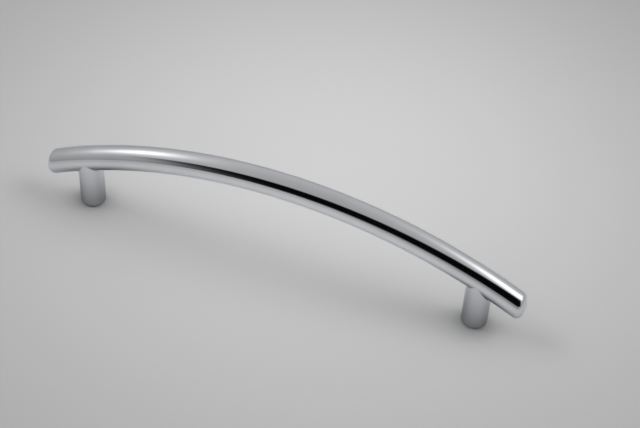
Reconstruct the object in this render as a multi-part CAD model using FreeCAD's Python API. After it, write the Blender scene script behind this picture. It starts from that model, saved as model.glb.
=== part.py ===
import FreeCAD, Part
import math
import os

# Bow-shaped bridge pull handle: a round bar bent to one long arc, carried by two round posts that
# run into its underside. The whole handle is one polished and plated die casting, so it is one
# solid. Each post is tapped from its foot for the screw that comes through the door or drawer.
#
# Millimetres. X runs along the handle and +Z points out of the door. The door face is z = 0 and
# the origin lies on it, midway between the two posts.

# ---- handle as a whole ----
HOLE_CENTRES = 128.0        # between the two fixing screws
PROJECTION = 34.0           # door face to the top of the bow

# ---- bar ----
BAR_DIAMETER = 8.0
BOW_RADIUS = 170.0          # of the bar's centreline
OVERHANG = 14.4             # from a post's axis to the tip of the bar, on the bar's centreline
END_CROWN = 1.0             # height of an end's dome, were its rim left sharp
END_LEAN = 7.0              # degrees that the dome looks down towards the door
END_ROUNDING = 2.0          # radius where the dome runs into the side of the bar

# ---- posts ----
POST_STEP = 0.02            # the post's wall lies this far inside the bar's side, where they meet
CREASE_RADIUS = 0.4         # inside corner between post and bar
FOOT_ROUNDING = 1.0         # outer edge of the foot

# ---- screw hole, tapped M4 ----
SCREW_DIAMETER = 4.0        # wall of the hole, which is the outer diameter of the thread
HOLE_DEPTH = 12.0           # of the straight wall, from the door face
DRILL_POINT_ANGLE = 118.0   # included angle of the cone at the hole's blind end
LEAD_IN = 0.3               # 45 degree chamfer at the mouth

# ---- worked out from the above ----
BAR_RADIUS = BAR_DIAMETER / 2
POST_RADIUS = BAR_RADIUS - POST_STEP
CROWN_HEIGHT = PROJECTION - BAR_RADIUS              # centreline at the middle of the bow
BOW_CENTRE = FreeCAD.Vector(0, 0, CROWN_HEIGHT - BOW_RADIUS)
POST_POSITIONS = (-HOLE_CENTRES / 2, HOLE_CENTRES / 2)
BAR_REACH = HOLE_CENTRES / 2 + OVERHANG             # from the middle to either tip
DOME_RADIUS = (BAR_RADIUS ** 2 + END_CROWN ** 2) / (2 * END_CROWN)
TOLERANCE = 0.01            # two places closer than this are the same place

ALONG = FreeCAD.Vector(1, 0, 0)
ACROSS = FreeCAD.Vector(0, 1, 0)
OUT = FreeCAD.Vector(0, 0, 1)


def centreline_height(x):
    """Height of the bar's centreline above the door face, at a distance x along the handle."""
    return BOW_CENTRE.z + math.sqrt(BOW_RADIUS ** 2 - x ** 2)


def overlong_bow(radius):
    """A round section carried along the bow, past both of the bar's ends."""
    turn = math.degrees(math.asin((BAR_REACH + BAR_DIAMETER) / BOW_RADIUS))
    crown = FreeCAD.Vector(0, 0, CROWN_HEIGHT)
    section = Part.Face(Part.Wire(Part.makeCircle(radius, crown, ALONG)))
    section.rotate(BOW_CENTRE, ACROSS, -turn)
    return section.revolve(BOW_CENTRE, ACROSS, 2 * turn)


def between_domes(inset):
    """The space between the two domed ends, drawn in by an inset."""
    lean = math.radians(END_LEAN)
    reach = BAR_REACH - DOME_RADIUS * math.cos(lean)
    height = centreline_height(BAR_REACH) + DOME_RADIUS * math.sin(lean)
    middle = Part.makeBox(2 * reach, 2 * BAR_DIAMETER, 2 * PROJECTION,
                          FreeCAD.Vector(-reach, -BAR_DIAMETER, 0))
    centres = [FreeCAD.Vector(x, 0, height) for x in (-reach, reach)]
    return middle.fuse([Part.makeSphere(DOME_RADIUS - inset, centre) for centre in centres])


def bar():
    """The bar: a slimmer, shorter bow grown all round by the radius that its ends then have."""
    core = overlong_bow(BAR_RADIUS - END_ROUNDING).common(between_domes(END_ROUNDING))
    return core.makeOffsetShape(END_ROUNDING, TOLERANCE / 100, join=0)


def post(x):
    """A round post from the door face up to the bar's centreline, where the bar buries its top."""
    return Part.makeCylinder(POST_RADIUS, centreline_height(x), FreeCAD.Vector(x, 0, 0), OUT)


def screw_hole(x):
    """The tool that cuts a blind hole up a post: chamfered mouth, straight wall, drill point."""
    wall = SCREW_DIAMETER / 2
    point_depth = wall / math.tan(math.radians(DRILL_POINT_ANGLE / 2))
    profile = [(0, 0), (wall + LEAD_IN, 0), (wall, LEAD_IN), (wall, HOLE_DEPTH),
               (0, HOLE_DEPTH + point_depth), (0, 0)]
    outline = Part.makePolygon([FreeCAD.Vector(x + radius, 0, depth) for radius, depth in profile])
    return Part.Face(outline).revolve(FreeCAD.Vector(x, 0, 0), OUT, 360)


def on_crease(edge):
    """Whether an edge lies on the bar where a post runs into it."""
    middle = edge.valueAt((edge.FirstParameter + edge.LastParameter) / 2)
    off_bow = math.hypot(middle.x, middle.z - BOW_CENTRE.z) - BOW_RADIUS
    off_bar = math.hypot(off_bow, middle.y) - BAR_RADIUS
    off_axis = min(abs(middle.x - x) for x in POST_POSITIONS)
    return abs(off_bar) < TOLERANCE and off_axis < POST_RADIUS + TOLERANCE


def on_door(edge):
    """Whether an edge lies on the door face."""
    return edge.BoundBox.ZMax < TOLERANCE


def with_rounded_edges(handle):
    """The casting with its posts blended into the bar and the outer edges of its feet rounded."""
    handle = handle.makeFillet(CREASE_RADIUS, [edge for edge in handle.Edges if on_crease(edge)])
    return handle.makeFillet(FOOT_ROUNDING, [edge for edge in handle.Edges if on_door(edge)])


def make_handle():
    casting = with_rounded_edges(bar().fuse([post(x) for x in POST_POSITIONS]))
    return casting.cut([screw_hole(x) for x in POST_POSITIONS]).Solids[0]


os.makedirs("parts", exist_ok=True)
make_handle().exportStep("parts/handle.step")
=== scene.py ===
import math
from collections import namedtuple

import bpy
from mathutils import Matrix, Vector


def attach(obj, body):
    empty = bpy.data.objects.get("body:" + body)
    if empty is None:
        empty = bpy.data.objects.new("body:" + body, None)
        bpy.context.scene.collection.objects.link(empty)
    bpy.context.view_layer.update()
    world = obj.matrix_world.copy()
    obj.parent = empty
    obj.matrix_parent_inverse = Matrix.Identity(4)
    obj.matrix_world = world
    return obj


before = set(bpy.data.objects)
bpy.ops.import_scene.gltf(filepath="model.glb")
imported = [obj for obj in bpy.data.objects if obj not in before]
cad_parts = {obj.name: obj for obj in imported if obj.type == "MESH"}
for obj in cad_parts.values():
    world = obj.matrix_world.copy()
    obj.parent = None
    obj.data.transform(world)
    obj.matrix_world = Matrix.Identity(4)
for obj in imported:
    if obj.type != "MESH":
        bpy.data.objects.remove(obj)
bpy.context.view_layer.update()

MM = 0.001

# Camera: angles in degrees, distance in metres, lens and sensor in millimetres
CAMERA_AZIMUTH = 19.5
CAMERA_ELEVATION = 42.6
CAMERA_ROLL = 3.6
CAMERA_DISTANCE = 0.419
CAMERA_TARGET = Vector((11.4, 5.3, 18.3)) * MM
CAMERA_LENS = 78.1
SENSOR_WIDTH = 36.0

# Paper under the handle, with a painted pool of light for the camera, brightest behind its middle;
# millimetres
PAPER_COLOUR = (0.6, 0.6, 0.602, 1.0)
PAPER_ROUGHNESS = 0.95
PAPER_HALF_SIZE = 1.6       # metres
SEEN_PAINTED_POOL_CENTRE = (0.0, 50.0)
SEEN_PAINTED_POOL_RADIUS = 140.0
SEEN_PAINTED_POOL_EDGE = 0.5
# The paper as the chrome shows it, a painted pool of light seen only in reflections: level in the middle,
# and the share left far from it
MIRRORED_PAINTED_LIGHT_LEVEL = 1.35
MIRRORED_PAINTED_LIGHT_CENTRE = (0.0, 20.0)
MIRRORED_PAINTED_LIGHT_RADIUS = 110.0
MIRRORED_PAINTED_LIGHT_EDGE = 0.65
# Painted contact shade round each foot, for the camera and for the chrome: radius and share of the light
# lost
SEEN_SHADE_RADIUS = 6.0
SEEN_SHADE_LOSS = 0.3
MIRRORED_SHADE_RADIUS = 15.0
MIRRORED_SHADE_LOSS = 0.6

# Chrome plate: colour of clean and smeared places, and colour at grazing angles
CHROME_LOW = (0.59, 0.605, 0.625, 1.0)
CHROME_HIGH = (0.62, 0.635, 0.655, 1.0)
CHROME_EDGE = (0.82, 0.82, 0.84, 1.0)
PLATE_ROUGHNESS = 0.018
PLATE_RIPPLE = 4.0e-6       # metres
TAPPED_ROUGHNESS = 0.22
TAPPED_RIPPLE = 8.0e-6
SMEAR_SCALE = 90.0
SMEAR_DETAIL = 3.0
SMEAR_TONE = (0.35, 0.70)   # noise levels between which the colour changes
SMEAR_DULL = (0.40, 0.75)   # noise levels between which the roughness rises
SMEARED_ROUGHNESS = 1.8     # times the clean one
GRAIN_SCALE = 5200.0
GRAIN_DETAIL = 2.0
GRAIN_STRETCH = (0.06, 1.0, 1.0)
GRAIN_ROUGHNESS = 0.6       # share of the clean roughness that the grain adds
RIPPLE_SCALE = 140.0
RIPPLE_DETAIL = 1.0

# M4 thread in the two feet, metres
HOLE_CENTRES = 128.0 * MM
FEET = {"screw_thread_left": -HOLE_CENTRES / 2.0, "screw_thread_right": HOLE_CENTRES / 2.0}
THREAD_PITCH = 0.7 * MM
THREAD_MAJOR = 2.01 * MM
THREAD_MINOR = 1.62 * MM
THREAD_ROOT = 0.61 * MM
THREAD_CREST = 0.17 * MM
THREAD_START = 0.9 * MM
THREAD_LENGTH = 10.5 * MM
THREAD_STEPS = 40
THREAD_RUN_OUT = 24

# Studio tent, lighter at the back and the top. Angles in degrees; azimuth 0 is -Y and 90 is +X.
TENT = 0.44
TENT_SLOPE = (0.0, 0.08, 0.1)
Light = namedtuple("Light", "azimuth elevation strength half_width half_height")
# Two bright windows, each with a wide soft glow round it
LEFT_WINDOW = Light(-95.0, 43.0, 1.2, 16.0, 9.0)
LEFT_WALL = Light(-95.0, 43.0, 0.25, 45.0, 20.0)
RIGHT_WINDOW = Light(113.0, 48.0, 1.9, 17.0, 11.0)
RIGHT_WALL = Light(120.0, 45.0, 0.2, 45.0, 25.0)
# Dark opening at the front, a soft-cornered rectangle that rises to the right
OPENING_AZIMUTH = 14.0
OPENING_ELEVATION = 34.0
OPENING_HALF_WIDTH = 48.0
OPENING_HALF_HEIGHT = 22.0
OPENING_TURN = 10.0
OPENING_SQUARENESS = 8.0
OPENING_DARK = 0.003
FACING_FADE = 0.3           # a patch ends where a ray turns away from its centre
# What the camera sees past the edge of the paper
BACKDROP_COLOUR = (0.32, 0.32, 0.322, 1.0)
# Lamps that cast the two shadows and a fill; they light the paper but stay out of the mirror's sight
LEFT_LAMP = Light(-87.0, 45.0, 4.0, 16.0, 13.0)
RIGHT_LAMP = Light(107.0, 42.0, 4.5, 16.0, 13.0)
FRONT_FILL = Light(5.0, 25.0, 1.0, 40.0, 20.0)


def direction(azimuth, elevation):
    """Unit vector towards an azimuth and elevation in degrees."""
    a, e = math.radians(azimuth), math.radians(elevation)
    return Vector((math.sin(a) * math.cos(e), -math.cos(a) * math.cos(e), math.sin(e)))


def make_camera():
    """The camera, rolled a little about its own line of sight."""
    data = bpy.data.cameras.new("camera")
    data.sensor_width = SENSOR_WIDTH
    data.lens = CAMERA_LENS
    camera = bpy.data.objects.new("camera", data)
    bpy.context.scene.collection.objects.link(camera)
    back = direction(CAMERA_AZIMUTH, CAMERA_ELEVATION)
    level = (-back).to_track_quat("-Z", "Y")
    turn = Matrix.Rotation(math.radians(CAMERA_ROLL), 4, "Z").to_quaternion()
    camera.rotation_mode = "QUATERNION"
    camera.rotation_quaternion = level @ turn
    camera.location = CAMERA_TARGET + back * CAMERA_DISTANCE
    bpy.context.scene.camera = camera


class Nodes:
    """Short calls for building a node tree."""

    def __init__(self, tree):
        self.tree = tree

    def add(self, kind, **settings):
        node = self.tree.nodes.new(kind)
        for key, value in settings.items():
            setattr(node, key, value)
        return node

    def put(self, socket, value):
        if isinstance(value, bpy.types.NodeSocket):
            self.tree.links.new(value, socket)
        else:
            socket.default_value = value

    def math(self, operation, a, b=0.0):
        node = self.add("ShaderNodeMath", operation=operation)
        self.put(node.inputs[0], a)
        self.put(node.inputs[1], b)
        return node.outputs[0]

    def dot(self, a, b):
        node = self.add("ShaderNodeVectorMath", operation="DOT_PRODUCT")
        self.put(node.inputs[0], a)
        self.put(node.inputs[1], b)
        return node.outputs["Value"]

    def noise(self, place, scale, detail):
        node = self.add("ShaderNodeTexNoise")
        self.put(node.inputs["Vector"], place)
        node.inputs["Scale"].default_value = scale
        node.inputs["Detail"].default_value = detail
        return node.outputs[0]

    def stretch(self, place, factors):
        node = self.add("ShaderNodeVectorMath", operation="MULTIPLY")
        self.put(node.inputs[0], place)
        self.put(node.inputs[1], factors)
        return node.outputs["Vector"]

    def scaled(self, colour, factor):
        node = self.add("ShaderNodeVectorMath", operation="SCALE")
        self.put(node.inputs[0], colour[:3])
        self.put(node.inputs["Scale"], factor)
        return node.outputs["Vector"]

    def smooth(self, value, low, high, start=0.0, end=1.0):
        node = self.add("ShaderNodeMapRange", interpolation_type="SMOOTHSTEP")
        self.put(node.inputs["Value"], value)
        self.put(node.inputs["From Min"], low)
        self.put(node.inputs["From Max"], high)
        self.put(node.inputs["To Min"], start)
        self.put(node.inputs["To Max"], end)
        return node.outputs["Result"]


def patch_axes(azimuth, elevation, turn=0.0):
    """Centre of a patch of the tent, and its width and height directions after a turn."""
    centre = direction(azimuth, elevation)
    level = direction(azimuth + 90.0, 0.0)
    upright = direction(azimuth, elevation + 90.0)
    t = math.radians(turn)
    across = math.cos(t) * level + math.sin(t) * upright
    along = math.cos(t) * upright - math.sin(t) * level
    return centre, across, along


def glow(n, ray, light):
    """A soft oval patch of light, strongest at its centre."""
    centre, across, along = patch_axes(light.azimuth, light.elevation)
    a = n.dot(ray, across / math.sin(math.radians(light.half_width)))
    b = n.dot(ray, along / math.sin(math.radians(light.half_height)))
    spread = n.math("ADD", n.math("MULTIPLY", a, a), n.math("MULTIPLY", b, b))
    fade = n.math("EXPONENT", n.math("MULTIPLY", spread, -1.0))
    facing = n.smooth(n.dot(ray, centre), 0.0, FACING_FADE)
    return n.math("MULTIPLY", n.math("MULTIPLY", fade, facing), light.strength)


def opening(n, ray):
    """1 inside the tent's dark front opening, 0 on the fabric."""
    centre, across, along = patch_axes(OPENING_AZIMUTH, OPENING_ELEVATION, OPENING_TURN)
    a = n.dot(ray, across / math.sin(math.radians(OPENING_HALF_WIDTH)))
    b = n.dot(ray, along / math.sin(math.radians(OPENING_HALF_HEIGHT)))
    side = n.math("POWER", n.math("MULTIPLY", a, a), OPENING_SQUARENESS)
    top = n.math("POWER", n.math("MULTIPLY", b, b), OPENING_SQUARENESS)
    inside = n.math("EXPONENT", n.math("MULTIPLY", n.math("ADD", side, top), -1.0))
    return n.math("MULTIPLY", inside, n.smooth(n.dot(ray, centre), 0.0, FACING_FADE))


def make_world():
    """The tent as the world's light; the lamps are left out of mirrored rays."""
    world = bpy.data.worlds.new("studio")
    world.use_nodes = True
    bpy.context.scene.world = world
    tree = world.node_tree
    tree.nodes.clear()
    n = Nodes(tree)
    ray = n.add("ShaderNodeTexCoord").outputs["Generated"]
    light = n.math("ADD", n.dot(ray, TENT_SLOPE), TENT)
    for patch in (LEFT_WINDOW, LEFT_WALL, RIGHT_WINDOW, RIGHT_WALL):
        light = n.math("ADD", light, glow(n, ray, patch))
    mask = opening(n, ray)
    lit = n.math("MULTIPLY", light, n.math("SUBTRACT", 1.0, mask))
    dark = n.math("MULTIPLY", mask, OPENING_DARK)
    light = n.math("ADD", lit, dark)
    path = n.add("ShaderNodeLightPath").outputs
    unmirrored = n.math("SUBTRACT", 1.0, path["Is Glossy Ray"])
    for lamp in (LEFT_LAMP, RIGHT_LAMP, FRONT_FILL):
        light = n.math("ADD", light, n.math("MULTIPLY", glow(n, ray, lamp), unmirrored))
    seen = path["Is Camera Ray"]
    mix = n.add("ShaderNodeMix", data_type="RGBA")
    n.put(mix.inputs["Factor"], seen)
    n.put(mix.inputs["A"], light)
    n.put(mix.inputs["B"], BACKDROP_COLOUR)
    background = n.add("ShaderNodeBackground")
    n.put(background.inputs["Color"], mix.outputs["Result"])
    output = n.add("ShaderNodeOutputWorld")
    n.put(output.inputs["Surface"], background.outputs["Background"])


def chrome_material(name, roughness, ripple):
    """Bright nickel-chrome plate: a faint polishing grain, wiped smears and a slow ripple."""
    material = bpy.data.materials.new(name)
    material.use_nodes = True
    tree = material.node_tree
    shader = tree.nodes["Principled BSDF"]
    n = Nodes(tree)
    place = n.add("ShaderNodeTexCoord").outputs["Object"]
    smear = n.noise(place, SMEAR_SCALE, SMEAR_DETAIL)
    grain = n.noise(n.stretch(place, GRAIN_STRETCH), GRAIN_SCALE, GRAIN_DETAIL)
    tone = n.smooth(smear, *SMEAR_TONE)
    colour = n.add("ShaderNodeMix", data_type="RGBA")
    n.put(colour.inputs["Factor"], tone)
    n.put(colour.inputs["A"], CHROME_LOW)
    n.put(colour.inputs["B"], CHROME_HIGH)
    n.put(shader.inputs["Base Color"], colour.outputs["Result"])
    rough = n.smooth(smear, *SMEAR_DULL, roughness, roughness * SMEARED_ROUGHNESS)
    rough = n.math("ADD", rough, n.math("MULTIPLY", grain, roughness * GRAIN_ROUGHNESS))
    n.put(shader.inputs["Roughness"], rough)
    bump = n.add("ShaderNodeBump")
    n.put(bump.inputs["Height"], n.noise(place, RIPPLE_SCALE, RIPPLE_DETAIL))
    bump.inputs["Strength"].default_value = 1.0
    bump.inputs["Distance"].default_value = ripple
    n.put(shader.inputs["Normal"], bump.outputs["Normal"])
    shader.inputs["Metallic"].default_value = 1.0
    shader.inputs["Specular Tint"].default_value = CHROME_EDGE
    return material


def pool(n, place, x, y, radius):
    """Mask for painted light and painted shade: 1 at the centre of a soft round pool on the paper, falling
    to 0 outside it; millimetres.
    """
    a = n.math("SUBTRACT", n.dot(place, (1.0 / (radius * MM), 0.0, 0.0)), x / radius)
    b = n.math("SUBTRACT", n.dot(place, (0.0, 1.0 / (radius * MM), 0.0)), y / radius)
    spread = n.math("ADD", n.math("MULTIPLY", a, a), n.math("MULTIPLY", b, b))
    return n.math("EXPONENT", n.math("MULTIPLY", spread, -1.0))


def painted_paper_shade(n, place, centre, radius, edge, level, foot_radius, foot_loss):
    """A painted pool of light on the paper, with the painted contact shade of the two feet taken off."""
    lit = n.math("ADD", n.math("MULTIPLY", pool(n, place, *centre, radius), 1.0 - edge), edge)
    shade = n.math("MULTIPLY", lit, level)
    for x in FEET.values():
        contact = n.math("MULTIPLY", pool(n, place, x / MM, 0.0, foot_radius), foot_loss)
        shade = n.math("MULTIPLY", shade, n.math("SUBTRACT", 1.0, contact))
    return shade


def make_floor():
    """A flat sheet of paper, lit by the world, with a painted pool of light and painted foot shade in its
    colour: one set for the camera, another for the chrome's reflections.
    """
    size = PAPER_HALF_SIZE
    mesh = bpy.data.meshes.new("floor")
    corners = [(-size, -size, 0.0), (size, -size, 0.0), (size, size, 0.0), (-size, size, 0.0)]
    mesh.from_pydata(corners, [], [(0, 1, 2, 3)])
    floor = bpy.data.objects.new("floor", mesh)
    bpy.context.scene.collection.objects.link(floor)
    material = bpy.data.materials.new("paper")
    material.use_nodes = True
    tree = material.node_tree
    shader = tree.nodes["Principled BSDF"]
    shader.inputs["Roughness"].default_value = PAPER_ROUGHNESS
    shader.inputs["Specular IOR Level"].default_value = 0.0
    n = Nodes(tree)
    place = n.add("ShaderNodeTexCoord").outputs["Object"]
    # Painted light and shade in the paper's colour: one set for the camera, one for the chrome's
    # reflections.
    painted_seen_shade = painted_paper_shade(n, place, SEEN_PAINTED_POOL_CENTRE, SEEN_PAINTED_POOL_RADIUS, SEEN_PAINTED_POOL_EDGE, 1.0,
                             SEEN_SHADE_RADIUS, SEEN_SHADE_LOSS)
    painted_mirrored_shade = painted_paper_shade(n, place, MIRRORED_PAINTED_LIGHT_CENTRE, MIRRORED_PAINTED_LIGHT_RADIUS, MIRRORED_PAINTED_LIGHT_EDGE, MIRRORED_PAINTED_LIGHT_LEVEL,
                                 MIRRORED_SHADE_RADIUS, MIRRORED_SHADE_LOSS)
    ray = n.add("ShaderNodeLightPath").outputs
    # Camera rays get the first painted shade, all other rays the second; it scales the paper colour.
    shade = n.add("ShaderNodeMix", data_type="FLOAT")
    n.put(shade.inputs["Factor"], ray["Is Camera Ray"])
    n.put(shade.inputs["A"], painted_mirrored_shade)
    n.put(shade.inputs["B"], painted_seen_shade)
    n.put(shader.inputs["Base Color"], n.scaled(PAPER_COLOUR, shade.outputs["Result"]))
    mesh.materials.append(material)


def make_thread(name, x, material):
    """The tapped thread of one foot: a ridge that climbs the wall of the screw hole."""
    steps = int(THREAD_LENGTH / THREAD_PITCH * THREAD_STEPS)
    profile = (
        (0.0, -0.5 * THREAD_ROOT),
        (1.0, -0.5 * THREAD_CREST),
        (1.0, 0.5 * THREAD_CREST),
        (0.0, 0.5 * THREAD_ROOT),
    )
    points, faces = [], []
    for i in range(steps + 1):
        angle = math.tau * i / THREAD_STEPS
        fade = min(1.0, i / THREAD_RUN_OUT, (steps - i) / THREAD_RUN_OUT)
        middle = THREAD_START + THREAD_PITCH * i / THREAD_STEPS
        for depth, rise in profile:
            radius = THREAD_MAJOR - (THREAD_MAJOR - THREAD_MINOR) * depth * fade
            points.append((x + radius * math.cos(angle), radius * math.sin(angle), middle + rise))
    width = len(profile)
    for i in range(steps):
        for k in range(width - 1):
            a = i * width + k
            faces.append((a, a + width, a + width + 1, a + 1))
    mesh = bpy.data.meshes.new(name)
    mesh.from_pydata(points, [], faces)
    mesh.materials.append(material)
    ridge = bpy.data.objects.new(name, mesh)
    bpy.context.scene.collection.objects.link(ridge)
    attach(ridge, "root")


make_camera()
make_world()
make_floor()
plate = chrome_material("chrome_plate", PLATE_ROUGHNESS, PLATE_RIPPLE)
thread = chrome_material("tapped_thread", TAPPED_ROUGHNESS, TAPPED_RIPPLE)
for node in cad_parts.values():
    for slot in node.material_slots:
        slot.material = plate
for name, x in FEET.items():
    make_thread(name, x, thread)
bpy.context.scene.view_settings.view_transform = "Standard"
